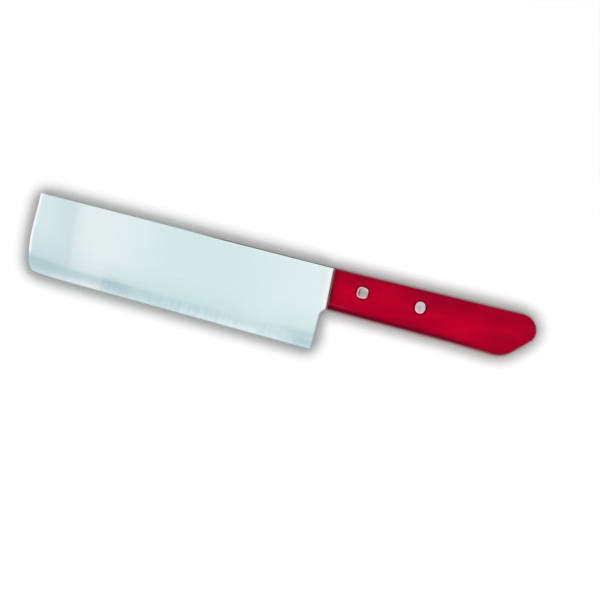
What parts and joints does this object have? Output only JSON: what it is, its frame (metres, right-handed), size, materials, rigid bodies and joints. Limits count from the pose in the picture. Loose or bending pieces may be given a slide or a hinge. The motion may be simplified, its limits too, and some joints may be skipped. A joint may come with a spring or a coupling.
{
  "type": "nakiri vegetable knife",
  "caption": "Nakiri-style kitchen knife: tall rectangular blade ground on both sides, half tang between red riveted handle scales, flush rivet heads.",
  "frame": {"origin": "under the middle of the knife as it lies level on its right side, at the height of the right scale's flat face", "axes": "+X from the tip to the butt, +Y from the cutting edge to the spine, +Z out of the knife's left side, which the picture shows"},
  "size_m": [0.283, 0.048, 0.014],
  "materials": {
    "blade_steel": "fine satin stainless steel with a brighter ground band along the edge",
    "handle_red": "hardwood dyed red under a smooth satin lacquer",
    "rivet_metal": "ground flush with the handle, fine satin"
  },
  "bodies": {
    "root": {"blade": "blade_steel", "left_scale": "handle_red", "right_scale": "handle_red", "front_rivet_male": "rivet_metal", "front_rivet_female": "rivet_metal", "rear_rivet_male": "rivet_metal", "rear_rivet_female": "rivet_metal"}
  },
  "joints": []
}
